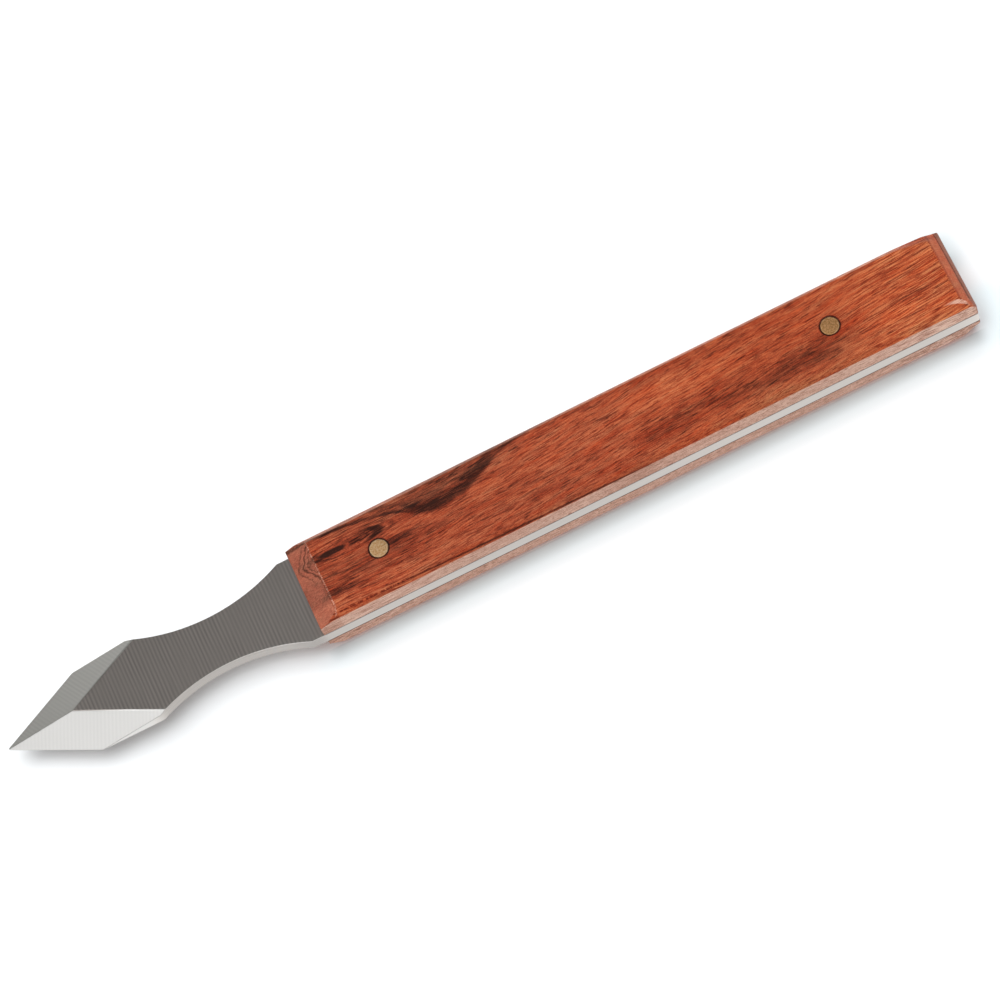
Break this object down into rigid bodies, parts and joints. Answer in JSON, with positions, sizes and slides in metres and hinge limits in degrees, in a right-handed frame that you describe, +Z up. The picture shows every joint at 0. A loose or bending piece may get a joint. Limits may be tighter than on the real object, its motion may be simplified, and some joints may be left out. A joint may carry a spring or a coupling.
{
  "type": "marking knife",
  "caption": "Full-tang marking knife: a spear point ground on one face only, a waisted neck, and wooden scales held by brass pins.",
  "frame": {"origin": "on the bench that the knife lies on, under the middle of its length and width", "axes": "+X from the point towards the butt, +Z up, away from the flat back of the blade, so that the bevelled face is uppermost"},
  "size_m": [0.165, 0.0146, 0.0111],
  "materials": {
    "blade_steel": "ground across its width, bevels brighter than the flat",
    "scale_wood": "oiled dark red-brown hardwood, satin, edges sanded soft",
    "pin_brass": "filed flush and dulled"
  },
  "bodies": {
    "root": {"blade": "blade_steel", "top_scale": "scale_wood", "bottom_scale": "scale_wood", "front_pin": "pin_brass", "rear_pin": "pin_brass"}
  },
  "joints": []
}
